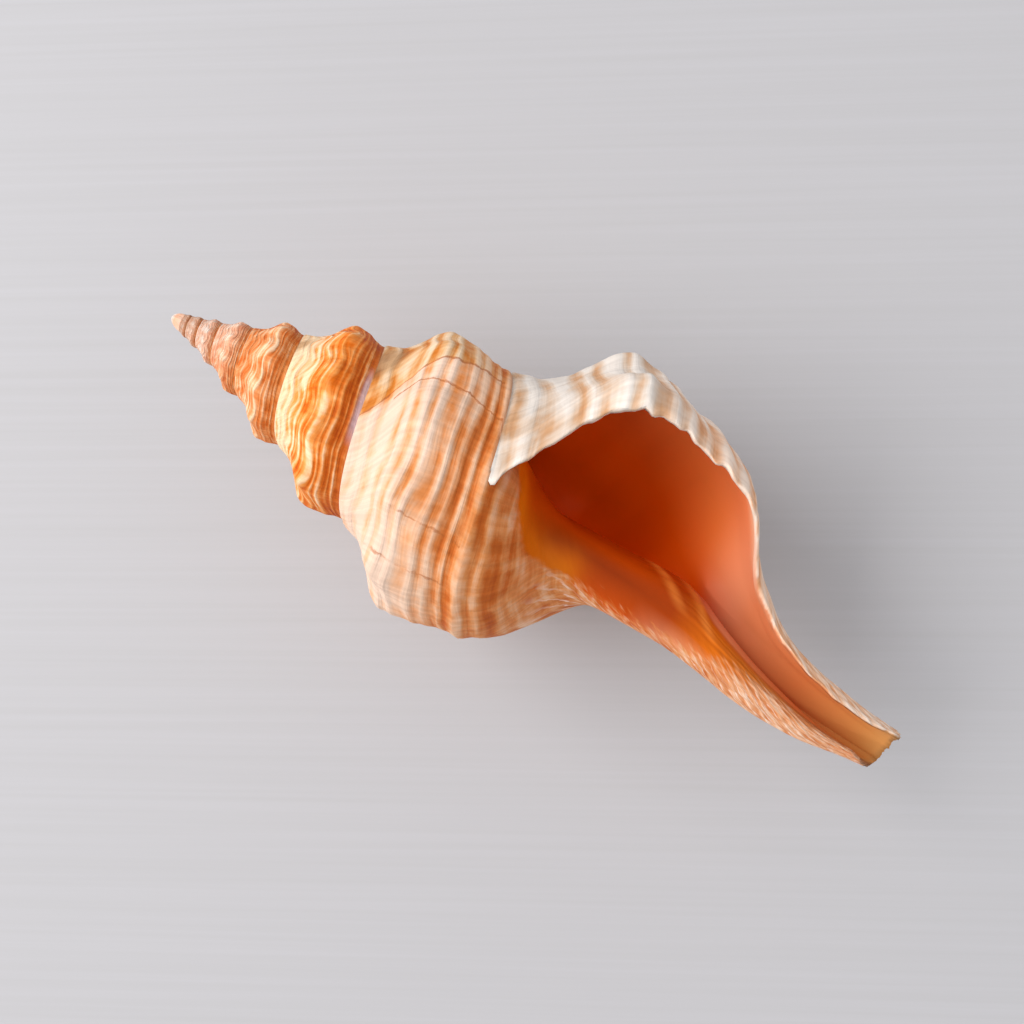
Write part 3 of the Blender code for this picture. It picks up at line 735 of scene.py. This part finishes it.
def surface_zones(points, notes):
    """At each corner: how glazed, how pale, how chalky, and how thin and amber the glaze."""
    _lane, turns, _x, inside, share = notes.T
    seen = EYE + (points - EYE) * (EYE[2] / (EYE[2] - points[:, 2:]))
    beyond = seen[:, 1] - curve(GLAZE_EDGE, seen[:, 0])
    soft = 1.9 + 2.6 * ease((seen[:, 0] - 84) / 15)
    glaze = ease(0.5 + beyond / soft / 2) * ease((seen[:, 0] - 69.5 + 0.08 * seen[:, 1]) / 2)
    glaze = glaze * (points[:, 2] > 0) * (turns > 0.55) * (turns < 1.4)
    glaze = np.maximum(glaze, inside)
    angle = np.arctan2(points[:, 2], points[:, 1])
    crest = 0.5 + 0.5 * np.cos(KNOBS_PER_TURN * angle)
    pale = 0.03 * (1 - ease((turns - 0.3) / 0.25))
    young = ease((turns - 0.45) / 0.15) * (1 - ease((turns - 0.975) / 0.02))
    pale = pale + young * (0.22 * (1 - ease((share - 0.15) / 0.3)) - 0.14 * bell(share, 0.84, 0.15))
    pale = pale + 0.10 * bell(turns, 0.95, 0.03) * bell(share, 0.5, 0.3)
    pale = pale + 0.34 * bell(turns, 0.71, 0.08) * bell(share, 0.5, 0.35)
    pale = pale + 0.03 * ease((share - 0.95) / 0.2) * (turns > 0.4)
    second = ease((turns - 1.4) / 0.2) * (1 - ease((turns - 2.3) / 0.2))
    pale = pale + second * (0.28 * (1 - ease((share - 0.05) / 0.35)) - 0.14 * ease((share - 0.6) / 0.2))
    small = ease((turns - 2.3) / 0.3)
    pale = pale + small * (0.22 * crest * bell(share, 0.42, 0.2) - 0.02)
    pale = pale + 0.25 * (1 - ease(share / 0.03)) * (turns > 1.5)
    chalk = bell(turns, 1.10, 0.055) * (1 - ease((share - 0.05) / 0.25))
    chalk = chalk + bell(turns, 2.1, 0.03) * (1 - ease((share - 0.05) / 0.2))
    amber = (1 - ease((beyond - 1) / 9)) * (1 - ease((seen[:, 0] - 88) / 10))
    return np.stack([glaze, pale, chalk, amber], -1)


# ---------------- finish
def linear(code):
    """sRGB hex value as a linear colour."""
    parts = [int(code[spot:spot + 2], 16) / 255 for spot in (1, 3, 5)]
    curved = [((part + 0.055) / 1.055) ** 2.4 if part > 0.04045 else part / 12.92 for part in parts]
    return curved + [1]


def add(tree, kind, inputs=(), stops=(), **settings):
    """Add a node, set its properties, link or set its inputs, and give its first output."""
    node = tree.nodes.new("ShaderNode" + kind)
    for name, value in settings.items():
        setattr(node, name, value)
    stops = list(stops)
    for _ in stops[2:]:
        node.color_ramp.elements.new(0.5)
    for number, (place, code) in enumerate(stops):
        node.color_ramp.elements[number].position = place
        node.color_ramp.elements[number].color = linear(code)
    pairs = inputs.items() if isinstance(inputs, dict) else enumerate(inputs)
    for socket, item in pairs:
        if isinstance(item, bpy.types.NodeSocket):
            tree.links.new(item, node.inputs[socket])
        else:
            node.inputs[socket].default_value = linear(item) if isinstance(item, str) else item
    return next((socket for socket in node.outputs if socket.enabled), None)


def within(tree, *ranges):
    """Multiply how far each value is through its range: value, its two limits, their results."""
    parts = [add(tree, "MapRange", limits) for limits in ranges]
    share = parts[0]
    for part in parts[1:]:
        share = add(tree, "Math", [share, part], operation="MULTIPLY")
    return share


def new_material(name):
    material = bpy.data.materials.new(name)
    material.use_nodes = True
    material.node_tree.nodes.clear()
    return material, material.node_tree


# Noise on the unrolled turns: name, spots down a side, spots round a turn, seed, detail
PATTERNS = (
    ("sway", 5, 14, 3.1, 2), ("bands", 10, 7, 7.7, 2), ("threads", 40, 9, 1.9, 2),
    ("mottle", 7, 26, 6.3, 4), ("clouds", 2.2, 7, 5.3, 3), ("growth_lines", 2, 150, 9.2, 2),
    ("ragged", 25, 160, 4.4, 3),
)
# Colours of the outside from hollows to crests, at these tones
TONES = (0.2, 0.42, 0.6, 0.85)
LIP_COLOURS = ("#BC8054", "#D0A27A", "#DEC6B0", "#ECE2D8")
# and further back, with the turns behind the lip over which each takes over
STAGES = (
    (0.22, 0.5, ("#D26E28", "#E69456", "#EEBA94", "#EFCFB8")),
    (0.992, 0.994, ("#B85812", "#D47E2E", "#E6B078", "#F4D6B4")),
    (1.3, 1.65, ("#B84602", "#E26E0E", "#F8A050", "#FFDEB4")),
    (2.35, 2.7, ("#C85420", "#E07430", "#F09C62", "#FCD6AE")),
    (3.5, 4.3, ("#F0A480", "#F9BC9C", "#FDD4BC", "#FFEEE2")),
    (5.2, 6.2, ("#FDB08A", "#FEBE9A", "#FFCCAE", "#FFE0CC")),
)
# The base's darker orange-browns are partly its own colour and partly painted shade on its shadowed
# underside
BASE_AND_SHADE_COLOURS = ("#AC4606", "#C8641E", "#DE8C4C", "#F2C29C")
PEACH_COLOURS = ("#D88A54", "#EBA878", "#F8C8A4", "#FFE6D2")
# Colour of the glaze by turns behind the lip, over the range 0 to 1.25
GLAZE_COLOURS = (
    (0.0, "#FFE8D4"), (0.01, "#FFD0A8"), (0.05, "#FF9660"), (0.13, "#F6823E"),
    (0.2, "#F46606"), (0.34, "#FC6A00"), (0.5, "#E85E00"), (0.57, "#BC4600"), (0.65, "#9A3600"),
    (0.71, "#BE4600"), (0.8, "#B04000"), (1.0, "#E44E00"),
)
# Colour of the canal's lining from its root to its end
CANAL_COLOURS = (
    (0.0, "#FAB088"), (0.14, "#EC9C76"), (0.3, "#E08A5C"), (0.6, "#DA8048"), (0.95, "#D08E4C"),
)
# Colour of the pillar's glaze over the same length
PILLAR_COLOURS = ((0.0, "#A63C00"), (0.2, "#D66806"), (0.42, "#CC7026"), (0.8, "#C0703C"))

# Two healed scars, then two marks where growth paused: slope, turns behind the lip, the
# shares of a side between which each shows, and its strength
OLD_EDGE_SLOPE = -0.033
SCARS = (
    (OLD_EDGE_SLOPE, 0.9925, -0.1, 0.93, 0.75), (0.027, 0.986, 0.2, 1.0, 0.75),
    (0.03, 0.832, 0.4, 0.95, 0.6), (0.02, 0.765, 0.3, 0.9, 0.6),
)
SLANT = 90.0                    # mm that the slanting threads wind back in one turn
THREAD_SPACING = 2.6            # mm; the real ones are 1 to 2 mm apart, too fine to show


def read_surface(tree):
    """The facts stored on the mesh, and noise that follows its unrolled turns."""
    at = SimpleNamespace()
    growth = add(tree, "Attribute", attribute_name="growth").node.outputs["Vector"]
    at.lane, at.turns, at.along = add(tree, "SeparateXYZ", [growth]).node.outputs
    coat = add(tree, "Attribute", attribute_name="coat").node.outputs
    at.glaze, at.pale, at.chalk = add(tree, "SeparateXYZ", [coat["Vector"]]).node.outputs
    at.amber = coat["Alpha"]
    at.share = add(tree, "Attribute", attribute_name="side").node.outputs["Fac"]
    for name, down, around, seed, detail in PATTERNS:
        spot = add(tree, "VectorMath", [growth, (down, around, 0), (seed, seed, seed)],
                   operation="MULTIPLY_ADD")
        setattr(at, name, add(tree, "TexNoise", {0: spot, 2: 1, 3: detail, 4: 0.55}))
    at.place = add(tree, "TexCoord").node.outputs["Object"]
    at.grain = add(tree, "TexNoise", {0: at.place, 2: 700, 3: 3, 4: 0.6})
    at.jitter = add(tree, "Math", [at.ragged, 0.009, -0.0045], operation="MULTIPLY_ADD")
    at.slant = add(tree, "Math", [at.turns, SLANT, at.along], operation="MULTIPLY_ADD")
    oblique = add(tree, "CombineXYZ", [at.slant, at.turns, 0])
    oblique = add(tree, "VectorMath", [oblique, (0.55, 30, 0)], operation="MULTIPLY")
    at.oblique = add(tree, "TexNoise", {0: oblique, 2: 1, 3: 2, 4: 0.55})
    return at


def cord_tone(tree, at):
    """Cords 4 mm apart on the last turn, with finer threads, swinging round the knobs."""
    sway = add(tree, "Math", [at.sway, 2.4, -1.2], operation="MULTIPLY_ADD")
    cords = []
    for number, sharpness in ((CORDS, 1.2), (OLD_CORDS, 3.5), (2 * OLD_CORDS, 2)):
        phase = add(tree, "Math", [at.lane, 2 * math.pi * number, sway], operation="MULTIPLY_ADD")
        wave = add(tree, "Math", [phase], operation="COSINE")
        wave = add(tree, "Math", [wave, 0.5, 0.5], operation="MULTIPLY_ADD")
        cords.append(add(tree, "Math", [wave, sharpness], operation="POWER"))
    old = add(tree, "MapRange", [at.turns, 1.25, 1.65])
    between = add(tree, "Math", [cords[2], 0.5], operation="MULTIPLY")
    older = add(tree, "Math", [cords[1], between], operation="MAXIMUM")
    cord = add(tree, "Mix", {0: old, 2: cords[0], 3: older})
    strength = within(
        tree, (at.clouds, 0.35, 0.65, 0.18, 0.46), (at.turns, 2.3, 3.2, 1, 0.45),
        (at.turns, 0.25, 0.5, 1.5, 1), (at.share, 0.9, 1.15, 1, 0.5),
    )
    tone = add(tree, "Math", [cord, strength, -0.40], operation="MULTIPLY_ADD")
    layers = (at.bands, 0.52), (at.threads, 0.34), (at.mottle, 0.80), (at.pale, 1), (at.grain, 0.10)
    for layer, weight in layers:
        tone = add(tree, "Math", [layer, weight, tone], operation="MULTIPLY_ADD")
    return cord, tone


def outside_colour(tree, at, tone):
    """Each stage of growth has its own colours; the base and the canal's outside have theirs."""
    lean = add(tree, "Math", [at.share, OLD_EDGE_SLOPE, at.turns], operation="MULTIPLY_ADD")
    old_edge = add(tree, "Math", [lean, at.jitter])
    colour = add(tree, "ValToRGB", [tone], stops=zip(TONES, LIP_COLOURS))
    for start, end, codes in STAGES:
        reached = add(tree, "MapRange", [old_edge, start, end], interpolation_type="SMOOTHSTEP")
        older = add(tree, "ValToRGB", [tone], stops=zip(TONES, codes))
        colour = add(tree, "Mix", {0: reached, 6: colour, 7: older}, data_type="RGBA")
    # the base's colours are partly its own and partly painted shade on the underside
    base = add(tree, "ValToRGB", [tone], stops=zip(TONES, BASE_AND_SHADE_COLOURS))
    peach = add(tree, "ValToRGB", [tone], stops=zip(TONES, PEACH_COLOURS))
    by_lip = add(tree, "MapRange", [at.turns, 0.25, 0.45, 1, 0])
    down_canal = add(tree, "MapRange", [at.along, 116, 130, 0, 0.4])
    peachy = add(tree, "Math", [by_lip, down_canal], operation="MAXIMUM")
    base = add(tree, "Mix", {0: peachy, 6: base, 7: peach}, data_type="RGBA")
    reached = add(tree, "MapRange", [at.share, 0.52, 0.95, 0, 0.92])
    colour = add(tree, "Mix", {0: reached, 6: colour, 7: base}, data_type="RGBA")

    # Painted shadow: brown where the next turn covers each one, and violet shade in one seam's gap
    # painted shadow: a brown line along each turn just before the next turn covers it
    painted_seam_shadow = within(tree, (at.share, 0.955, 1, 0, 0.6), (at.turns, 0.88, 0.92),
                   (at.turns, 2.3, 3, 1, 0.12))
    # painted shade: a greyish-violet strip in the gap at one seam
    painted_gap_shade = within(tree, (at.share, 0.91, 0.95, 0, 0.8), (at.turns, 1.82, 1.86),
                    (at.turns, 1.94, 1.98, 1, 0))
    for painted_shade, code in ((painted_seam_shadow, "#A85A2C"), (painted_gap_shade, "#BCA2A6")):
        colour = add(tree, "Mix", {0: painted_shade, 6: colour, 7: code}, data_type="RGBA")
    return colour


def scar_share(tree, at):
    """The lip once broke here and grew on from under the old edge; the marks are patchy."""
    lines = []
    for slope, start, first, last, strength in SCARS:
        across = add(tree, "Math", [at.share, slope, at.turns], operation="MULTIPLY_ADD")
        across = add(tree, "Math", [across, at.jitter])
        across = add(tree, "Math", [across, start], operation="SUBTRACT")
        line = add(tree, "Math", [across], operation="ABSOLUTE")
        line = add(tree, "MapRange", [line, 0.0005, 0.0022, strength, 0])
        for limit, side in ((first, "GREATER_THAN"), (last, "LESS_THAN")):
            shown = add(tree, "Math", [at.share, limit], operation=side)
            line = add(tree, "Math", [line, shown], operation="MULTIPLY")
        lines.append(line)
    healed = add(tree, "Math", lines[:2], operation="MAXIMUM")
    marks = add(tree, "Math", lines[2:], operation="MAXIMUM")
    patchy = add(tree, "MapRange", [at.mottle, 0.46, 0.56])
    marks = add(tree, "Math", [marks, patchy], operation="MULTIPLY")
    return add(tree, "Math", [healed, marks], operation="MAXIMUM")


def worn_colour(tree, at, tone, colour):
    """Scars, the chalky crust by the seams, the worn tip of the spire, and growth lines."""
    colour = add(tree, "Mix", {0: scar_share(tree, at), 6: colour, 7: "#B4622A"}, data_type="RGBA")
    worn = add(tree, "Math", [at.clouds, 0.8, at.chalk], operation="MULTIPLY_ADD")
    worn = add(tree, "MapRange", [worn, 0.7, 1.15])
    crust = add(tree, "ValToRGB", [tone], stops=((0.3, "#945E34"), (0.75, "#D2A67A")))
    colour = add(tree, "Mix", {0: worn, 6: colour, 7: crust}, data_type="RGBA")
    from_middle = add(tree, "SeparateXYZ", [at.place])
    tip_share = add(tree, "MapRange", [from_middle, -0.0786, -0.0762, 1, 0])
    tip = add(tree, "MapRange", [from_middle, -0.0796, -0.0786])
    tip = add(tree, "Mix", {0: tip, 6: "#FFF6EE", 7: "#FFC09C"}, data_type="RGBA")
    colour = add(tree, "Mix", {0: tip_share, 6: colour, 7: tip}, data_type="RGBA")
    low = add(tree, "MapRange", [at.growth_lines, 0.35, 0.65, 0.90, 1.05])
    return add(tree, "Mix", {0: 1, 6: colour, 7: low}, data_type="RGBA", blend_type="MULTIPLY")


def glaze_colour(tree, at):
    """Orange porcelain, redder inside, salmon by the lip and in the canal, amber at its edge."""
    depth = add(tree, "Math", [at.turns, 0.8], operation="MULTIPLY")
    colour = add(tree, "ValToRGB", [depth], stops=GLAZE_COLOURS)
    outer_wall = add(tree, "MapRange", [at.turns, 0.4, 0.6, 1, 0])
    far_wall = add(tree, "MapRange", [at.turns, 0.93, 0.97])
    walls = add(tree, "Math", [outer_wall, far_wall], operation="MAXIMUM")
    between = add(tree, "Math", [1, walls], operation="SUBTRACT")
    down = add(tree, "MapRange", [at.along, 110, 160])
    salmon = add(tree, "ValToRGB", [down], stops=CANAL_COLOURS)
    orange = add(tree, "ValToRGB", [down], stops=PILLAR_COLOURS)
    in_canal = add(tree, "MapRange", [at.along, 111, 123, 0, 0.95],
                   interpolation_type="SMOOTHSTEP")
    in_canal = add(tree, "Math", [in_canal, walls], operation="MULTIPLY")
    on_pillar = within(tree, (at.along, 100, 112), (between, 0, 1))
    rosy = within(tree, (at.turns, 0.69, 0.79, 1, 0), (at.along, 103, 113, 0, 0.65),
                  (between, 0, 1))
    thin = add(tree, "Math", [at.bands, 0.8, -0.4], operation="MULTIPLY_ADD")
    thin = add(tree, "Math", [thin, at.amber], use_clamp=True)
    thin = add(tree, "Math", [thin, at.amber], operation="MULTIPLY")
    layers = (in_canal, salmon), (on_pillar, orange), (rosy, "#F6A478"), (thin, "#DC7004")
    for cover, tint in layers:
        colour = add(tree, "Mix", {0: cover, 6: colour, 7: tint}, data_type="RGBA")
    return colour


def glazed_share(tree, at):
    """The glaze ends in slanting streaks."""
    streaky = add(tree, "Math", [at.oblique, 1.3, -0.65], operation="MULTIPLY_ADD")
    edge = add(tree, "Math", [at.glaze, streaky])
    glazed = add(tree, "MapRange", [edge, 0.2, 0.75], interpolation_type="SMOOTHSTEP")
    full = add(tree, "MapRange", [at.glaze, 0.75, 1])
    glazed = add(tree, "Math", [glazed, full], operation="MAXIMUM")
    return within(tree, (glazed, 0, 1), (at.glaze, 0, 0.12))


def thread_share(tree, at, glazed):
    """Broken whitish threads run slanting over the base and the outside of the canal."""
    phase = add(tree, "Math", [at.oblique, 9], operation="MULTIPLY")
    phase = add(tree, "Math", [at.slant, 2 * math.pi / THREAD_SPACING, phase], operation="MULTIPLY_ADD")
    crest = add(tree, "Math", [phase], operation="COSINE")
    return within(
        tree, (crest, 0.6, 0.98), (at.oblique, 0.4, 0.6, 0.1, 0.75), (at.along, 84, 92),
        (at.share, 1.05, 1.4), (glazed, 0, 0.7, 1, 0),
    )


def fold_painted_highlight(tree, at):
    """The crests of the two folds on the pillar get a painted highlight in lighter orange."""
    wound = add(tree, "Math", [at.turns, FOLD_PITCH, at.along], operation="MULTIPLY_ADD")
    wound = add(tree, "MapRange", [wound, 146, 162])
    black, white = "#000000", "#FFFFFF"
    crests = add(tree, "ValToRGB", [wound], stops=(
        (0.02, black), (0.2, white), (0.38, black), (0.48, black), (0.68, white), (0.88, black),
    ))
    crests.node.color_ramp.interpolation = "EASE"
    return within(tree, (crests, 0, 1), (at.turns, 0.83, 0.88), (at.turns, 1, 1.06, 1, 0),
                  (at.glaze, 0, 1, 0, 0.45))


def shell_finish():
    """Horse conch shell: hard calcite, matt and corded outside, porcelain-smooth inside."""
    material, tree = new_material("horse_conch_calcite")
    at = read_surface(tree)
    cord, tone = cord_tone(tree, at)
    colour = worn_colour(tree, at, tone, outside_colour(tree, at, tone))
    glazed = glazed_share(tree, at)
    layers = (
        (glazed, glaze_colour(tree, at)), (thread_share(tree, at, glazed), "#FFE2D0"),
        # painted highlight in lighter orange on the crests of the pillar's folds
        (fold_painted_highlight(tree, at), "#FC9840"),
    )
    for cover, tint in layers:
        colour = add(tree, "Mix", {0: cover, 6: colour, 7: tint}, data_type="RGBA")
    # Fine relief under the cords, which the glaze fills
    ridges = 0.0
    for relief, weight in (
        (at.threads, 0.20), (at.growth_lines, 0.10), (cord, 0.18), (at.mottle, 0.25),
        (at.grain, 0.05),
    ):
        ridges = add(tree, "Math", [relief, weight, ridges], operation="MULTIPLY_ADD")
    bare = add(tree, "MapRange", [at.glaze, 0, 1, 1, 0.03])
    ridges = add(tree, "Math", [ridges, bare], operation="MULTIPLY")
    bump = add(tree, "Bump", {"Height": ridges, "Strength": 1, "Distance": 0.001})
    rough = add(tree, "MapRange", [at.glaze, 0, 1, 0.55, 0.40])
    rough = add(tree, "Math", [at.grain, 0.06, rough], operation="MULTIPLY_ADD")
    surface = add(tree, "BsdfPrincipled", {
        "Base Color": colour, "Roughness": rough, "Normal": bump, "IOR": 1.53,
        "Specular IOR Level": 0.12,
    })
    add(tree, "OutputMaterial", {"Surface": surface})
    return material


# ---------------- floor, light and camera
CAMERA_TURN = math.radians(29.06)   # the shell lies across the view at this slant
VIEW_ANGLE = 2 * math.atan(512 / 1200)


def table_finish():
    """Painted board: pale grey and matt, with the wood's grain just showing."""
    material, tree = new_material("painted_board")
    place = add(tree, "TexCoord").node.outputs["Object"]
    stretched = add(tree, "VectorMath", [place, (6, 620, 1)], operation="MULTIPLY")
    grain = add(tree, "TexNoise", {0: stretched, 2: 1.0, 3: 4.0, 4: 0.6})
    tint = add(tree, "MapRange", [grain, 0.3, 0.7])
    colour = add(tree, "Mix", {0: tint, 6: "#BBBABC", 7: "#BFBEC1"}, data_type="RGBA")
    surface = add(tree, "BsdfPrincipled", {"Base Color": colour, "Roughness": 0.6})
    add(tree, "OutputMaterial", {"Surface": surface})
    return material


def make_floor():
    bpy.ops.object.select_all(action="DESELECT")
    bpy.ops.mesh.primitive_plane_add(size=6)
    floor = bpy.context.object
    floor.name = "floor"
    floor.rotation_euler.z = CAMERA_TURN
    floor.data.materials.append(table_finish())


def in_room(point, turn, fit, shift):
    """A place given on the shell's axis, as it is after the shell is laid down."""
    return Vector((turn @ np.array(point, float)) * 0.001 * fit + shift)


def add_window(name, place, aim, size, power, colour):
    light = bpy.data.lights.new(name, "AREA")
    light.shape = "RECTANGLE"
    light.size, light.size_y = size
    light.energy = power
    light.color = linear(colour)[:3]
    holder = bpy.data.objects.new(name, light)
    holder.location = place
    holder.rotation_euler = (aim - place).to_track_quat("-Z", "Y").to_euler()
    bpy.context.scene.collection.objects.link(holder)


def make_camera(turn, fit, shift):
    """Straight above the mouth, square to the shell's axis."""
    right = turn @ np.array([math.cos(CAMERA_TURN), math.sin(CAMERA_TURN), 0])
    back = turn @ np.array([0, 0, 1.0])
    up = np.cross(back, right)
    camera = bpy.data.objects.new("camera", bpy.data.cameras.new("camera"))
    place = in_room(EYE, turn, fit, shift)
    frame_axes = Matrix(np.stack([right, up, back], 1).tolist()).to_4x4()
    camera.matrix_world = Matrix.Translation(place) @ frame_axes
    camera.data.angle = VIEW_ANGLE
    camera.data.clip_start = 0.01
    bpy.context.scene.collection.objects.link(camera)
    bpy.context.scene.camera = camera
    return Vector(right), Vector(up)


def light_room(right, up):
    world = bpy.data.worlds.new("room")
    world.use_nodes = True
    sky = world.node_tree.nodes["Background"]
    sky.inputs[0].default_value = linear("#F0F1F4")
    sky.inputs[1].default_value = 0.77
    bpy.context.scene.world = world
    middle = Vector((0, 0, 0.02))
    flat_right = Vector((right.x, right.y, 0)).normalized()
    flat_up = Vector((up.x, up.y, 0)).normalized()
    away = -flat_right * 0.92 + flat_up * 0.16
    place = middle + away * 1.7 + Vector((0, 0, 1.3))
    add_window("window", place, middle, (2.2, 1.5), 44.0, "#FFFCFA")
    bpy.context.scene.view_settings.view_transform = "Standard"


shell, turn, fit, shift = make_shell()
shell.data.materials.append(shell_finish())
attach(shell, "root")
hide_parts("shell")
make_floor()
right, up = make_camera(turn, fit, shift)
light_room(right, up)
